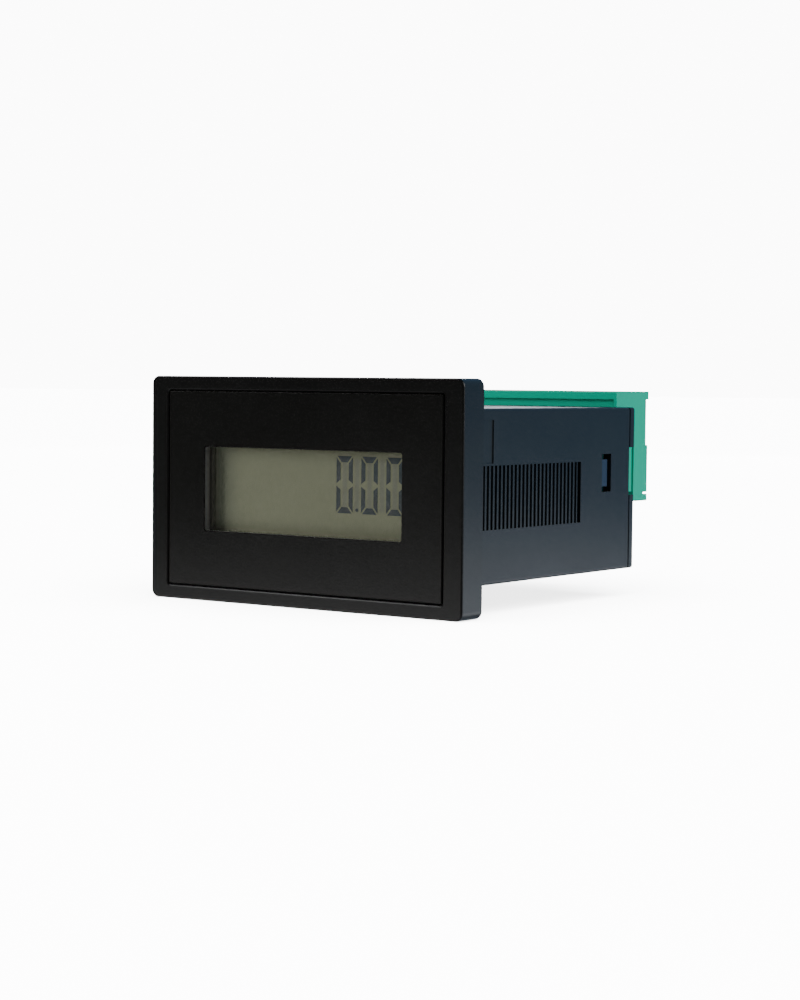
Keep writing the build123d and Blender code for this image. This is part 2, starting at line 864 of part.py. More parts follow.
with BuildPart() as header_pins:
    for pole_x in poles:
        width = (pole_x - pin_size / 2, pole_x + pin_size / 2)
        block(width, (pin_bend_y, pin_tip_y), (pin_z - pin_size / 2, pin_z + pin_size / 2))
        block(
            width,
            (pin_bend_y, pin_bend_y + pin_size),
            (main_board_bottom - pin_tail, pin_z + pin_size / 2),
        )
finish(header_pins, "header_pins")

# ---------------------------------------------------------------- terminal plug


def plug_solid():
    """The plug's outside: nose in the header, foot behind it, clamp section above, lip along the top."""
    block((-nose_x, nose_x), (nose_start_y, foot_front_y), (nose_bottom, nose_top))
    block((-plug_x, plug_x), (foot_front_y, foot_back_y), (plug_foot_z, plug_shoulder_z))
    block((-plug_x, plug_x), (plug_front_y, plug_back_y), (plug_shoulder_z, lip_bottom_z))
    block((-plug_x, plug_x), (plug_front_y, plug_back_y + plug_lip_reach), (lip_bottom_z, plug_top_z))


def pole_cavities(pole_x):
    """One pole's spaces: clamp chamber, wire entry, screw hole, contact channel and probe slot."""
    chamber = (pole_x - chamber_x, pole_x + chamber_x)
    channel = (
        pole_x - contact_width / 2 - close_clear,
        pole_x + contact_width / 2 + close_clear,
    )
    block(
        chamber,
        (chamber_front_y, chamber_back_y),
        (clamp_bottom - seat_clear, clamp_top + seat_clear),
        mode=Mode.SUBTRACT,
    )
    post(pole_x, wire_y, (clamp_bottom - seat_clear, plug_top_z), wire_hole_radius, mode=Mode.SUBTRACT)
    funnel_height = 2 * (wire_funnel_radius - wire_hole_radius)
    with Locations((pole_x, wire_y, plug_top_z - funnel_height / 2)):
        Cone(wire_hole_radius, wire_funnel_radius, funnel_height, mode=Mode.SUBTRACT)
    rod(
        pole_x,
        (chamber_back_y, head_seat_y),
        clamp_middle_z,
        clamp_screw_radius + turn_clear,
        mode=Mode.SUBTRACT,
    )
    rod(
        pole_x,
        (head_seat_y, plug_back_y),
        clamp_middle_z,
        clamp_head_radius + turn_clear,
        mode=Mode.SUBTRACT,
    )
    block(
        channel,
        (strip_front_y - close_clear, strip_back_y + close_clear),
        (jog_bottom - close_clear, clamp_bottom),
        mode=Mode.SUBTRACT,
    )
    block(
        channel,
        (strip_front_y - close_clear, drop_y + strip_metal + close_clear),
        (jog_bottom - close_clear, jog_bottom + strip_metal + close_clear),
        mode=Mode.SUBTRACT,
    )
    block(
        channel,
        (drop_y - close_clear, drop_y + strip_metal + close_clear),
        (pin_z - contact_socket, jog_bottom + strip_metal),
        mode=Mode.SUBTRACT,
    )
    block(
        (pole_x - contact_tube, pole_x + contact_tube),
        (nose_start_y, drop_y + strip_metal + close_clear),
        (pin_z - contact_tube, pin_z + contact_tube),
        mode=Mode.SUBTRACT,
    )
    block(
        (pole_x - probe_width / 2, pole_x + probe_width / 2),
        (probe_y, foot_back_y),
        (pin_z - probe_height / 2, pin_z + probe_height / 2),
        mode=Mode.SUBTRACT,
    )


with BuildPart() as plug_body:
    plug_solid()
    foot_edge = plug_body.edges().filter_by(Axis.X).group_by(Axis.Z)[0].sort_by(Axis.Y)[0]
    fillet(foot_edge, plug_corner)
    top_edge = plug_body.edges().filter_by(Axis.X).group_by(Axis.Z)[-1].sort_by(Axis.Y)[0]
    chamfer(top_edge, plug_edge)
    block(
        (-undercut_x, undercut_x),
        (plug_front_y, plug_front_y + plug_lip_front),
        (undercut_bottom_z, lip_bottom_z),
        mode=Mode.SUBTRACT,
    )
    block(
        (-plug_x, plug_x),
        (foot_back_y - label_slit_depth, foot_back_y),
        (label_slit_z, label_slit_z + label_slit),
        mode=Mode.SUBTRACT,
    )
    for pole_x in poles:
        pole_cavities(pole_x)
finish(plug_body, "plug_body")

with BuildPart() as plug_contacts:
    for pole_x in poles:
        width = (pole_x - contact_width / 2, pole_x + contact_width / 2)
        block(width, (strip_front_y, strip_back_y), (jog_bottom, clamp_top))
        block(width, (strip_front_y, drop_y + strip_metal), (jog_bottom, jog_bottom + strip_metal))
        block(width, (drop_y, drop_y + strip_metal), (pin_z - contact_socket, jog_bottom + strip_metal))
        block(
            (pole_x - contact_socket, pole_x + contact_socket),
            (contact_start_y, drop_y),
            (pin_z - contact_socket, pin_z + contact_socket),
        )
        block(
            (pole_x - contact_inside, pole_x + contact_inside),
            (contact_start_y, drop_y),
            (pin_z - contact_inside, pin_z + contact_inside),
            mode=Mode.SUBTRACT,
        )
finish(plug_contacts, "plug_contacts")

# ---------------------------------------------------------------- clamp screws and rising cages

for number, pole_x in enumerate(poles, start=1):
    with BuildPart() as clamp_screw:
        shank_y = (strip_back_y + turn_clear, head_seat_y + turn_clear)
        rod(pole_x, shank_y, clamp_middle_z, clamp_screw_radius)
        rod(pole_x, (shank_y[1], head_end_y), clamp_middle_z, clamp_head_radius)
        block(
            (pole_x - clamp_head_radius, pole_x + clamp_head_radius),
            (head_end_y - clamp_slot_depth, head_end_y),
            (clamp_middle_z - clamp_slot_width / 2, clamp_middle_z + clamp_slot_width / 2),
            mode=Mode.SUBTRACT,
        )
    finish(clamp_screw, f"clamp_screw_{number:02d}")

    with BuildPart() as clamp_cage:
        block((pole_x - cage_x, pole_x + cage_x), (cage_front_y, cage_back_y), (clamp_bottom, clamp_top))
        block(
            (pole_x - cage_inner_x / 2, pole_x + cage_inner_x / 2),
            (cage_front_y + cage_floor, cage_thread_y),
            (clamp_bottom, clamp_top),
            mode=Mode.SUBTRACT,
        )
        rod(
            pole_x,
            (cage_thread_y, cage_back_y),
            clamp_middle_z,
            clamp_screw_radius + turn_clear,
            mode=Mode.SUBTRACT,
        )
    finish(clamp_cage, f"clamp_cage_{number:02d}")

# ---------------------------------------------------------------- one file for each piece

for piece in pieces:
    export_step(piece, f"parts/{piece.label}.step")
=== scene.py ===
import math

import bmesh
import bpy
from mathutils import Matrix, Vector


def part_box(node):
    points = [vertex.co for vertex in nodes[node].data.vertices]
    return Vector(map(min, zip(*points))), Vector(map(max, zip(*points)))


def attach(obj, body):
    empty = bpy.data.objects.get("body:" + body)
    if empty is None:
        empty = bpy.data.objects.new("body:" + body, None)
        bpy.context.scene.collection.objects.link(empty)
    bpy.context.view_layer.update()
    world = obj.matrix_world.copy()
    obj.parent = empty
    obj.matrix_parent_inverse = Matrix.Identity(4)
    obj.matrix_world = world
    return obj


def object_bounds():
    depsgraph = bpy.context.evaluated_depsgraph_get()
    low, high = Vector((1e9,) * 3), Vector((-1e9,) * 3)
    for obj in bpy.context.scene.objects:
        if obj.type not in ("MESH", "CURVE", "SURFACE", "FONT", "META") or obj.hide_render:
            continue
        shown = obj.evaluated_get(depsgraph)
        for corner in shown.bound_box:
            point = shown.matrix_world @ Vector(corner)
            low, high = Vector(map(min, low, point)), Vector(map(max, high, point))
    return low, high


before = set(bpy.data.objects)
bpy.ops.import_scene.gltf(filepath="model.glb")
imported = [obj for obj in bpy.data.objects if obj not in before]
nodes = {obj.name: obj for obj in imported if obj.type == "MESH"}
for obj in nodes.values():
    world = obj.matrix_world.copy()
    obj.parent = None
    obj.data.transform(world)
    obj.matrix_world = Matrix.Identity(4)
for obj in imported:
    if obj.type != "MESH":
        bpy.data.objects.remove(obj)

# The looks of a panel-mount frequency counter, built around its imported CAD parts. Metres. X is to the
# right, Y runs from the panel's front face into the cabinet, and Z is up.

MM = 0.001
cad_low, cad_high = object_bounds()


# ---------------------------------------------------------------- material graphs


class Graph:
    """A material with one Principled shader, and short names for the nodes that drive it."""

    def __init__(self, name):
        self.material = bpy.data.materials.new(name)
        self.material.use_nodes = True
        self.tree = self.material.node_tree
        self.shader = self.tree.nodes["Principled BSDF"]
        self.place = self.node("ShaderNodeTexCoord").outputs["Object"]

    def node(self, kind, **settings):
        made = self.tree.nodes.new(kind)
        for name, value in settings.items():
            setattr(made, name, value)
        return made

    def join(self, source, socket):
        self.tree.links.new(source, socket)

    def noise(self, scale, detail=2.0, roughness=0.5, stretch=(1, 1, 1)):
        """Smooth noise from 0 to 1, with scale features in a metre, and fewer along a stretched axis."""
        place = self.place
        if stretch != (1, 1, 1):
            mapping = self.node("ShaderNodeMapping")
            mapping.inputs["Scale"].default_value = stretch
            self.join(place, mapping.inputs["Vector"])
            place = mapping.outputs["Vector"]
        made = self.node("ShaderNodeTexNoise")
        made.inputs["Scale"].default_value = scale
        made.inputs["Detail"].default_value = detail
        made.inputs["Roughness"].default_value = roughness
        self.join(place, made.inputs["Vector"])
        return made.outputs["Fac"]

    def axis(self, name):
        """One coordinate of the surface point, in metres."""
        split = self.node("ShaderNodeSeparateXYZ")
        self.join(self.place, split.inputs["Vector"])
        return split.outputs[name]

    def spread(self, value, from_low, from_high, low, high, smooth=False):
        made = self.node("ShaderNodeMapRange")
        made.interpolation_type = "SMOOTHSTEP" if smooth else "LINEAR"
        for name, number in (
            ("From Min", from_low),
            ("From Max", from_high),
            ("To Min", low),
            ("To Max", high),
        ):
            made.inputs[name].default_value = number
        self.join(value, made.inputs["Value"])
        return made.outputs["Result"]

    def blend(self, factor, first, second):
        """A colour mix. Each side is a colour or a socket."""
        made = self.node("ShaderNodeMix", data_type="RGBA", blend_type="MIX")
        for socket, side in ((made.inputs[6], first), (made.inputs[7], second)):
            if isinstance(side, (tuple, list)):
                socket.default_value = (*side, 1.0)
            else:
                self.join(side, socket)
        if isinstance(factor, (int, float)):
            made.inputs[0].default_value = factor
        else:
            self.join(factor, made.inputs[0])
        return made.outputs[2]

    def multiply(self, first, second):
        made = self.node("ShaderNodeMath", operation="MULTIPLY")
        for socket, side in zip(made.inputs, (first, second)):
            if isinstance(side, (int, float)):
                socket.default_value = side
            else:
                self.join(side, socket)
        return made.outputs[0]

    def average(self, first, second):
        made = self.node("ShaderNodeMath", operation="ADD")
        self.join(first, made.inputs[0])
        self.join(second, made.inputs[1])
        return self.multiply(made.outputs[0], 0.5)

    def within(self, value, low, high):
        """1 where value is between low and high, otherwise 0."""
        made = self.node("ShaderNodeMath", operation="COMPARE")
        self.join(value, made.inputs[0])
        made.inputs[1].default_value = (low + high) / 2
        made.inputs[2].default_value = (high - low) / 2
        return made.outputs[0]

    def colour(self, source):
        self.join(source, self.shader.inputs["Base Color"])

    def roughness(self, source):
        self.join(source, self.shader.inputs["Roughness"])

    def bump(self, height, depth):
        """Raises the surface by up to depth where height is 1."""
        made = self.node("ShaderNodeBump")
        made.inputs["Distance"].default_value = depth
        made.inputs["Strength"].default_value = 1.0
        self.join(height, made.inputs["Height"])
        self.join(made.outputs["Normal"], self.shader.inputs["Normal"])

    def set(self, **values):
        """Numbers or colours that are the same all over the surface."""
        for name, value in values.items():
            socket = self.shader.inputs[name.replace("_", " ")]
            socket.default_value = (*value, 1.0) if isinstance(value, tuple) else value


# Most of a noise's values lie between these two.
NOISE_LOW = 0.3
NOISE_HIGH = 0.7

CLOUD_DETAIL = 3.0
SPECK_SCALE = 0.37
SPECK_DETAIL = 4.0
SPECK_ROUGHNESS = 0.7
SPECK_LOW = 0.35
SPECK_HIGH = 0.75
SPECK_SHARE = 0.5


def moulding(name, dark, light, smooth, rough, grain, depth, specular=0.5, cloud=60.0):
    """Moulded plastic: eroded grain in its surface, with slow changes of shade and gloss."""
    graph = Graph(name)
    slow = graph.noise(cloud, CLOUD_DETAIL)
    fine = graph.noise(grain)
    speck = graph.noise(grain * SPECK_SCALE, SPECK_DETAIL, SPECK_ROUGHNESS)
    shade = graph.blend(slow, dark, light)
    speckled = graph.spread(speck, SPECK_LOW, SPECK_HIGH, 0.0, SPECK_SHARE)
    graph.colour(graph.blend(speckled, shade, light))
    graph.roughness(graph.spread(graph.average(slow, fine), NOISE_LOW, NOISE_HIGH, smooth, rough))
    graph.bump(fine, depth)
    graph.set(Specular_IOR_Level=specular)
    return graph


# Painted light: the colour and the extent of the lighter rim under the window pane.
PAINTED_RIM_LIGHT_COLOUR = (0.24, 0.24, 0.215)
RIM_AHEAD = 0.2 * MM
RIM_DEPTH = MM


def bezel_moulding():
    """Near-black plastic. The rim under the window pane has painted light: it is coloured lighter,
    standing in for light scattered out of the pane.
    """
    graph = moulding(
        "bezel_black",
        dark=(0.0034, 0.0034, 0.0032),
        light=(0.0050, 0.0050, 0.0048),
        smooth=0.28,
        rough=0.38,
        grain=7000,
        depth=0.00002,
    )
    low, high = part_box("display_window")
    # Where the painted light on the rim under the window pane goes.
    painted_rim_light = graph.multiply(
        graph.within(graph.axis("X"), low.x, high.x),
        graph.multiply(
            graph.within(graph.axis("Z"), low.z, high.z),
            graph.within(graph.axis("Y"), high.y - RIM_AHEAD, high.y + RIM_DEPTH),
        ),
    )
    plain = graph.shader.inputs["Base Color"].links[0].from_socket
    graph.colour(graph.blend(painted_rim_light, plain, PAINTED_RIM_LIGHT_COLOUR))
    return graph


bezel_black = bezel_moulding()
plate_black = moulding(
    "plate_black",
    dark=(0.0030, 0.0030, 0.0026),
    light=(0.0046, 0.0046, 0.0040),
    smooth=0.28,
    rough=0.38,
    grain=5200,
    depth=0.00003,
)
housing_black = moulding(
    "housing_black",
    dark=(0.0046, 0.0056, 0.0070),
    light=(0.0070, 0.0084, 0.0100),
    smooth=0.28,
    rough=0.38,
    grain=6200,
    depth=0.000025,
)
# The latch arms' bluish colour is painted sheen: it stands in for the highlight their outward tilt
# catches.
latch_painted_sheen = moulding(
    "latch_painted_sheen",
    dark=(0.0035, 0.017, 0.045),
    light=(0.0055, 0.022, 0.056),
    smooth=0.35,
    rough=0.45,
    grain=6000,
    depth=0.00002,
)
inner_black = moulding(
    "inner_black",
    dark=(0.0030, 0.0030, 0.0032),
    light=(0.0045, 0.0045, 0.0050),
    smooth=0.5,
    rough=0.6,
    grain=6000,
    depth=0.00002,
)
rubber_black = moulding(
    "rubber_black",
    dark=(0.02, 0.02, 0.02),
    light=(0.03, 0.03, 0.03),
    smooth=0.7,
    rough=0.85,
    grain=4000,
    depth=0.00004,
)
plug_green = moulding(
    "plug_green",
    dark=(0.0008, 0.43, 0.270),
    light=(0.0012, 0.47, 0.298),
    smooth=0.40,
    rough=0.52,
    grain=6500,
    depth=0.000015,
    specular=0.2,
    cloud=35.0,
)
board_green = moulding(
    "board_green",
    dark=(0.015, 0.10, 0.045),
    light=(0.02, 0.14, 0.06),
    smooth=0.2,
    rough=0.3,
    grain=3000,
    depth=0.00001,
)
chip_black = moulding(
    "chip_black",
    dark=(0.015, 0.015, 0.017),
    light=(0.025, 0.025, 0.027),
    smooth=0.45,
    rough=0.6,
    grain=9000,
    depth=0.00002,
)
ferrite_grey = moulding(
    "ferrite_grey",
    dark=(0.06, 0.055, 0.05),
    light=(0.09, 0.085, 0.08),
    smooth=0.6,
    rough=0.75,
    grain=9000,
    depth=0.00003,
)


WEAR_SCALE = 5000
WEAR_DETAIL = 3.0
WEAR_DEPTH = 0.000006
TARNISH_SCALE = 300


def metal(name, dark, light, smooth, rough, brushed=(1, 1, 1)):
    """Plated metal with fine wear."""
    graph = Graph(name)
    fine = graph.noise(WEAR_SCALE, WEAR_DETAIL, stretch=brushed)
    slow = graph.noise(TARNISH_SCALE)
    graph.colour(graph.blend(slow, dark, light))
    graph.roughness(graph.spread(fine, NOISE_LOW, NOISE_HIGH, smooth, rough))
    graph.bump(fine, WEAR_DEPTH)
    graph.set(Metallic=1.0)
    return graph


screw_zinc = metal(
    "screw_zinc", dark=(0.52, 0.53, 0.54), light=(0.66, 0.66, 0.64), smooth=0.28, rough=0.42
)
cage_nickel = metal(
    "cage_nickel", dark=(0.55, 0.53, 0.48), light=(0.66, 0.63, 0.56), smooth=0.2, rough=0.32
)
pin_tin = metal(
    "pin_tin", dark=(0.62, 0.61, 0.59), light=(0.72, 0.71, 0.68), smooth=0.3, rough=0.42
)
can_steel = metal(
    "can_steel",
    dark=(0.60, 0.60, 0.60),
    light=(0.70, 0.70, 0.70),
    smooth=0.25,
    rough=0.35,
    brushed=(1, 1, 0.1),
)
reflector_foil = metal(
    "reflector_foil", dark=(0.50, 0.51, 0.44), light=(0.58, 0.59, 0.50), smooth=0.5, rough=0.6
)


# ---------------------------------------------------------------- liquid crystal display

window_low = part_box("display_window")[0]
glass_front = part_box("lcd_front_glass")[0].y

LENS_OVERLAP = 1.6 * MM
DIGIT_PITCH = 5.84 * MM
DIGIT_WIDTH = 3.85 * MM
DIGIT_HEIGHT = 10.8 * MM
DIGIT_BOTTOM = -3.64 * MM
FIRST_DIGIT = 6.10 * MM
SHOWN_DIGITS = 3
SIDE_BAR = 0.96 * MM
END_BAR = 1.15 * MM
BAR_GAP = 0.25 * MM
WAIST_GAP = 0.50 * MM
WAIST_SLANT = 0.7
POINT_RADIUS = 0.33 * MM
POINT_RISE = 0.71 * MM
PRINT_THICKNESS = 0.03 * MM
# Painted shadows of the segments, as if cast onto the reflector behind them.
SHADOW_SHIFT = 1.5 * MM
SHADOW_SOFT = 0.35 * MM
SHADOW_SHARE = 0.45
SHADOW_COLOUR = (0.222, 0.222, 0.212)
# Painted shade on the display near the window's left wall.
WALL_SHADE_LENGTH = 7.0 * MM
WALL_SHADE_COLOUR = (0.29, 0.30, 0.23)
OLIVE_SCALE = 45
OLIVE_DARK = (0.325, 0.325, 0.230)
OLIVE_LIGHT = (0.350, 0.350, 0.250)
INK_SCALE = 260
INK_BLUE = (0.080, 0.103, 0.120)
INK_GREY = (0.112, 0.109, 0.114)
FILM_GRAIN = 2500
FILM_SMOOTH = 0.34
FILM_ROUGH = 0.42


def film_gloss(graph):
    """The fine gloss of the display's front film."""
    grain = graph.noise(FILM_GRAIN)
    graph.roughness(graph.spread(grain, NOISE_LOW, NOISE_HIGH, FILM_SMOOTH, FILM_ROUGH))


def lcd_glass():
    """The polariser's olive grey, with painted shade near the window's left wall and the segments' faint
    painted shadows.
    """
    graph = Graph("lcd_glass")
    x = graph.axis("X")
    z = graph.axis("Z")
    window_left = window_low.x + LENS_OVERLAP
    # Painted shade: darker towards the window's left wall.
    clear_of_wall_shade = graph.spread(x, window_left, window_left + WALL_SHADE_LENGTH, 0.0, 1.0, smooth=True)
    olive = graph.blend(graph.noise(OLIVE_SCALE), OLIVE_DARK, OLIVE_LIGHT)
    base = graph.blend(clear_of_wall_shade, WALL_SHADE_COLOUR, olive)
    digit_top = DIGIT_BOTTOM + DIGIT_HEIGHT
    height = graph.multiply(
        graph.spread(z, DIGIT_BOTTOM, DIGIT_BOTTOM + MM, 0.0, 1.0, smooth=True),
        graph.spread(z, digit_top - MM, digit_top, 1.0, 0.0, smooth=True),
    )
    # Each segment's painted shadow: a soft darker band shifted to the right.
    for index in range(SHOWN_DIGITS):
        for edge in (SIDE_BAR / 2, DIGIT_WIDTH - SIDE_BAR / 2):
            middle = FIRST_DIGIT + index * DIGIT_PITCH + edge + SHADOW_SHIFT
            inner = SIDE_BAR / 4
            outer = SIDE_BAR / 2 + SHADOW_SOFT
            band = graph.multiply(
                graph.spread(x, middle - outer, middle - inner, 0.0, 1.0, smooth=True),
                graph.spread(x, middle + inner, middle + outer, 1.0, 0.0, smooth=True),
            )
            shade = graph.multiply(graph.multiply(band, height), SHADOW_SHARE)
            base = graph.blend(shade, base, SHADOW_COLOUR)
    graph.colour(base)
    film_gloss(graph)
    return graph


def lcd_ink():
    """Driven segments: slate grey with a blue cast that changes slowly."""
    graph = Graph("lcd_ink")
    slow = graph.noise(INK_SCALE, 1.0)
    graph.colour(graph.blend(slow, INK_BLUE, INK_GREY))
    film_gloss(graph)
    return graph


PANE_TINT = (0.97, 0.98, 0.97)
PANE_ROUGHNESS = 0.04
PANE_IOR = 1.49
REFLECTION_SHARE = 0.6
FROST_SCALE = 900
FROST_DARK = (0.23, 0.235, 0.225)
FROST_LIGHT = (0.28, 0.285, 0.275)
FROST_ROUGHNESS = 0.55
EDGE_FACING = 0.5


def window_clear():
    """Clear acrylic: what is behind shows, with a faint reflection. Its cut edges are frosted grey."""
    graph = Graph("window_clear")
    clear = graph.node("ShaderNodeBsdfTransparent")
    clear.inputs["Color"].default_value = (*PANE_TINT, 1.0)
    gloss = graph.node("ShaderNodeBsdfGlossy")
    gloss.inputs["Roughness"].default_value = PANE_ROUGHNESS
    fresnel = graph.node("ShaderNodeFresnel")
    fresnel.inputs["IOR"].default_value = PANE_IOR
    polished = graph.node("ShaderNodeMixShader")
    graph.join(graph.multiply(fresnel.outputs[0], REFLECTION_SHARE), polished.inputs[0])
    graph.join(clear.outputs[0], polished.inputs[1])
    graph.join(gloss.outputs[0], polished.inputs[2])
    graph.colour(graph.blend(graph.noise(FROST_SCALE), FROST_DARK, FROST_LIGHT))
    graph.set(Roughness=FROST_ROUGHNESS)
    facing = graph.node("ShaderNodeSeparateXYZ")
    graph.join(graph.node("ShaderNodeTexCoord").outputs["Normal"], facing.inputs["Vector"])
    edge = graph.within(facing.outputs["Y"], -EDGE_FACING, EDGE_FACING)
    mix = graph.node("ShaderNodeMixShader")
    graph.join(edge, mix.inputs[0])
    graph.join(polished.outputs[0], mix.inputs[1])
    graph.join(graph.shader.outputs[0], mix.inputs[2])
    graph.join(mix.outputs[0], graph.tree.nodes["Material Output"].inputs["Surface"])
    return graph


lcd_olive = lcd_glass()
lcd_slate = lcd_ink()
window_pane = window_clear()


def prism(outline, front, back):
    """The points and faces of a prism with that X and Z outline, between two depths."""
    points, faces = [], []
    count = len(outline)
    for depth in (front, back):
        points += [(x, depth, z) for x, z in outline]
    faces.append(tuple(range(count)))
    faces.append(tuple(range(2 * count - 1, count - 1, -1)))
    for index in range(count):
        after = (index + 1) % count
        faces.append((after, index, index + count, after + count))
    return points, faces


def mesh_piece(name, solids, material, body):
    """One piece from several solids, each a pair of points and faces, riding on a body."""
    points, faces = [], []
    for solid_points, solid_faces in solids:
        offset = len(points)
        points += solid_points
        faces += [tuple(index + offset for index in face) for face in solid_faces]
    mesh = bpy.data.meshes.new(name)
    mesh.from_pydata(points, [], faces)
    work = bmesh.new()
    work.from_mesh(mesh)
    bmesh.ops.recalc_face_normals(work, faces=work.faces)
    work.to_mesh(mesh)
    work.free()
    mesh.materials.append(material)
    piece = bpy.data.objects.new(name, mesh)
    bpy.context.scene.collection.objects.link(piece)
    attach(piece, body)


def bar_outlines(left):
    """The six driven bars of a zero, mitred at their ends, as X and Z outlines."""
    right = left + DIGIT_WIDTH
    bottom = DIGIT_BOTTOM
    top = bottom + DIGIT_HEIGHT
    middle = (bottom + top) / 2
    bars = []
    for z_out, z_sign in ((top, -1), (bottom, 1)):
        bars.append([
            (left + BAR_GAP, z_out),
            (right - BAR_GAP, z_out),
            (right - BAR_GAP - SIDE_BAR, z_out + z_sign * END_BAR),
            (left + BAR_GAP + SIDE_BAR, z_out + z_sign * END_BAR),
        ])
    for x_out, x_sign in ((left, 1), (right, -1)):
        for z_end, z_sign in ((top, -1), (bottom, 1)):
            waist = middle - z_sign * WAIST_GAP / 2
            bars.append([
                (x_out, z_end + z_sign * BAR_GAP),
                (x_out + x_sign * SIDE_BAR, z_end + z_sign * (BAR_GAP + END_BAR)),
                (x_out + x_sign * SIDE_BAR, waist - z_sign * SIDE_BAR * WAIST_SLANT),
                (x_out, waist),
            ])
    return bars


POINT_SIDES = 24


def circle(x, z, radius):
    turns = [2 * math.pi / POINT_SIDES * step for step in range(POINT_SIDES)]
    return [(x + radius * math.cos(turn), z + radius * math.sin(turn)) for turn in turns]


def display_print():
    """The shown digits and the decimal point, thin on the display's front glass."""
    solids = []
    for index in range(SHOWN_DIGITS):
        for outline in bar_outlines(FIRST_DIGIT + index * DIGIT_PITCH):
            solids.append(prism(outline, glass_front - PRINT_THICKNESS, glass_front))
    point_x = FIRST_DIGIT + (DIGIT_WIDTH + DIGIT_PITCH) / 2
    point = circle(point_x, DIGIT_BOTTOM + POINT_RISE, POINT_RADIUS)
    solids.append(prism(point, glass_front - PRINT_THICKNESS, glass_front))
    mesh_piece("display_digits", solids, lcd_slate.material, "housing")


display_print()


# ---------------------------------------------------------------- finishes on the CAD parts

FINISHES = {
    "front_bezel": bezel_black,
    "front_plate": plate_black,
    "display_window": window_pane,
    "panel_gasket": rubber_black,
    "lcd_foam_seal": rubber_black,
    "lcd_front_glass": lcd_olive,
    "lcd_rear_glass": lcd_olive,
    "lcd_reflector": reflector_foil,
    "lcd_holder": inner_black,
    "zebra_strips": rubber_black,
    "display_board": board_green,
    "lcd_driver_chip": chip_black,
    "display_screws": screw_zinc,
    "carrier_frame": inner_black,
    "housing_sleeve": housing_black,
    "rear_cover": housing_black,
    "main_board": board_green,
    "board_link_socket": chip_black,
    "board_link_strip": chip_black,
    "board_link_pins": pin_tin,
    "microcontroller": chip_black,
    "crystal": can_steel,
    "electrolytic_capacitors": chip_black,
    "choke": ferrite_grey,
    "voltage_regulator": chip_black,
    "optocouplers": chip_black,
    "diodes": chip_black,
    "chip_resistors": chip_black,
    "terminal_header": plug_green,
    "header_pins": pin_tin,
    "latch_arm_left": latch_painted_sheen,
    "latch_arm_right": latch_painted_sheen,
    "plug_body": plug_green,
    "plug_contacts": pin_tin,
}


def finish_of(node_name):
    if node_name.startswith("clamp_screw"):
        return screw_zinc
    if node_name.startswith("clamp_cage"):
        return cage_nickel
    return FINISHES[node_name]


for node_name, node in nodes.items():
    node.data.materials.clear()
    node.data.materials.append(finish_of(node_name).material)


# ---------------------------------------------------------------- floor, light and camera

FLOOR_SIZE = 12.0
WHITE_OUT = 14.0
FLOOR_SUN = 13.0
FLOOR_FILL = 36.0
FRONT_LIGHT = (0.036, 0.036, 0.034)
REAR_LIGHT = (0.125, 0.265, 0.43)
REAR_SPREAD = (-0.5, 0.9)
LOWER_BOUNCE = (0.34, 0.35, 0.37)
LOWER_SPREAD = (-0.15, -0.75)
FLOOR_DROP = 0.02 * MM
FLOOR_CLOUD = 3.0
FLOOR_DARK = (0.86, 0.86, 0.86)
FLOOR_LIGHT = (0.88, 0.88, 0.88)
FLOOR_ROUGHNESS = 0.9
FLOOR_SPECULAR = 0.1
FLOOR_LAMP_PLACE = (0.3, -0.2, 1.0)
FLOOR_LAMP_SPREAD = math.radians(100)


def floor():
    """A white floor just under the bezel, lit by its own lamps, so it doesn't flood the black object."""
    mesh = bpy.data.meshes.new("floor")
    half = FLOOR_SIZE / 2
    level = cad_low.z - FLOOR_DROP
    mesh.from_pydata(
        [(-half, -half, level), (half, -half, level), (half, half, level), (-half, half, level)],
        [],
        [(0, 1, 2, 3)],
    )
    graph = Graph("floor_white")
    graph.colour(graph.blend(graph.noise(FLOOR_CLOUD), FLOOR_DARK, FLOOR_LIGHT))
    graph.set(Roughness=FLOOR_ROUGHNESS, Specular_IOR_Level=FLOOR_SPECULAR)
    mesh.materials.append(graph.material)
    piece = bpy.data.objects.new("floor", mesh)
    bpy.context.scene.collection.objects.link(piece)
    piece.visible_diffuse = False
    piece.visible_glossy = False
    piece.visible_transmission = False
    piece.visible_shadow = False
    return piece


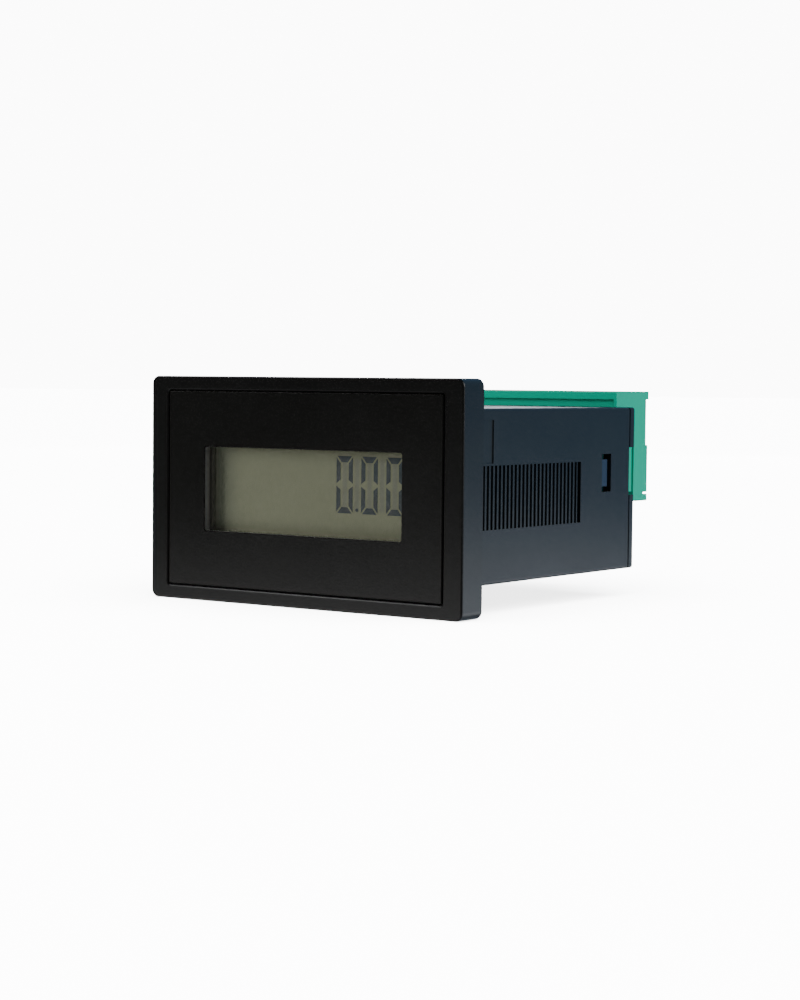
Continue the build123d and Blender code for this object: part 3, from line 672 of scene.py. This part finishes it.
def surroundings():
    """White behind the object; for its light, a dim bluish studio above and pale bounce from below."""
    world = bpy.data.worlds.new("studio")
    bpy.context.scene.world = world
    world.use_nodes = True
    tree = world.node_tree
    tree.nodes.clear()
    output = tree.nodes.new("ShaderNodeOutputWorld")
    seen = tree.nodes.new("ShaderNodeBackground")
    seen.inputs["Strength"].default_value = WHITE_OUT
    light = tree.nodes.new("ShaderNodeBackground")
    direction = tree.nodes.new("ShaderNodeTexCoord")
    split = tree.nodes.new("ShaderNodeSeparateXYZ")
    tree.links.new(direction.outputs["Generated"], split.inputs[0])
    colour = FRONT_LIGHT
    for axis, (start, end), far in (("Y", REAR_SPREAD, REAR_LIGHT), ("Z", LOWER_SPREAD, LOWER_BOUNCE)):
        share = tree.nodes.new("ShaderNodeMapRange")
        share.interpolation_type = "SMOOTHSTEP"
        share.inputs["From Min"].default_value = start
        share.inputs["From Max"].default_value = end
        tree.links.new(split.outputs[axis], share.inputs["Value"])
        mixed = tree.nodes.new("ShaderNodeMix")
        mixed.data_type = "RGBA"
        tree.links.new(share.outputs["Result"], mixed.inputs[0])
        if isinstance(colour, tuple):
            mixed.inputs[6].default_value = (*colour, 1.0)
        else:
            tree.links.new(colour, mixed.inputs[6])
        mixed.inputs[7].default_value = (*far, 1.0)
        colour = mixed.outputs[2]
    tree.links.new(colour, light.inputs["Color"])
    path = tree.nodes.new("ShaderNodeLightPath")
    mix = tree.nodes.new("ShaderNodeMixShader")
    tree.links.new(path.outputs["Is Camera Ray"], mix.inputs[0])
    tree.links.new(light.outputs[0], mix.inputs[1])
    tree.links.new(seen.outputs[0], mix.inputs[2])
    tree.links.new(mix.outputs[0], output.inputs["Surface"])


def lamp(name, data, place, target):
    made = bpy.data.objects.new(name, data)
    made.location = place
    made.rotation_mode = "QUATERNION"
    made.rotation_quaternion = (Vector(target) - Vector(place)).to_track_quat("-Z", "Y")
    made.visible_camera = False
    bpy.context.scene.collection.objects.link(made)
    return made


def card(name, place, target, width, height, radiance, in_gloss):
    """A soft rectangular lamp of that radiance, which glossy surfaces mirror only if in_gloss."""
    data = bpy.data.lights.new(name, "AREA")
    data.shape = "RECTANGLE"
    data.size = width
    data.size_y = height
    data.energy = radiance * math.pi * width * height
    lamp(name, data, place, target).visible_glossy = in_gloss


def floor_lamps(piece):
    """Two suns that reach only the floor: one casts the object's soft shadow, and one fills it."""
    only_floor = bpy.data.collections.new("only_floor")
    only_floor.objects.link(piece)
    suns = (("floor_sun", FLOOR_SUN, True), ("floor_fill", FLOOR_FILL, False))
    for name, strength, shadow in suns:
        data = bpy.data.lights.new(name, "SUN")
        data.energy = strength
        data.angle = FLOOR_LAMP_SPREAD
        data.use_shadow = shadow
        data.cycles.cast_shadow = shadow
        made = lamp(name, data, FLOOR_LAMP_PLACE, (0, 0, 0))
        made.light_linking.receiver_collection = only_floor


YAW = math.radians(35.877)
PITCH = math.radians(3.032)
ROLL = math.radians(-0.541)
FOCAL_LENGTH = 81.12
SENSOR_WIDTH = 36.0
CLIP_NEAR = 0.01
CLIP_FAR = 50.0
CAMERA_PLACE = Vector((0.26528, -0.34072, 0.02145))


def camera():
    ahead = Vector((-math.sin(YAW), math.cos(YAW), 0.0))
    right = Vector((math.cos(YAW), math.sin(YAW), 0.0))
    up = Vector((0.0, 0.0, 1.0))
    forward = ahead * math.cos(PITCH) - up * math.sin(PITCH)
    raised = up * math.cos(PITCH) + ahead * math.sin(PITCH)
    across = right * math.cos(ROLL) - raised * math.sin(ROLL)
    above = raised * math.cos(ROLL) + right * math.sin(ROLL)
    data = bpy.data.cameras.new("camera")
    data.lens = FOCAL_LENGTH
    data.sensor_width = SENSOR_WIDTH
    data.clip_start = CLIP_NEAR
    data.clip_end = CLIP_FAR
    eye = bpy.data.objects.new("camera", data)
    bpy.context.scene.collection.objects.link(eye)
    turned = Matrix((across, above, -forward)).transposed().to_4x4()
    eye.matrix_world = Matrix.Translation(CAMERA_PLACE) @ turned
    bpy.context.scene.camera = eye


surroundings()
floor_lamps(floor())
middle = (cad_low + cad_high) / 2
# Name, place, target, width, height, radiance, and whether glossy surfaces mirror it
CARDS = (
    ("left_fill", (-0.42, -0.36, 0.16), middle, 0.34, 0.34, 9.0, False),
    ("right_fill", (0.42, -0.34, 0.08), middle, 0.30, 0.30, 1.6, False),
    ("right_softbox", (0.62, 0.10, 0.30), middle, 0.36, 0.36, 7.5, True),
    ("top_left_card", (-0.36, -0.05, 0.46), middle, 0.26, 0.16, 5.0, True),
    ("front_low_card", (-0.06, -0.11, -0.07), (0, 0, -0.02), 0.20, 0.07, 1.35, True),
    ("side_low_card", (0.14, 0.13, -0.062), (0.034, 0.045, -0.01), 0.18, 0.08, 1.5, True),
    ("rear_softbox", (-0.45, 0.85, 0.16), middle, 0.8, 0.22, 3.0, True),
)
for settings in CARDS:
    card(*settings)
camera()
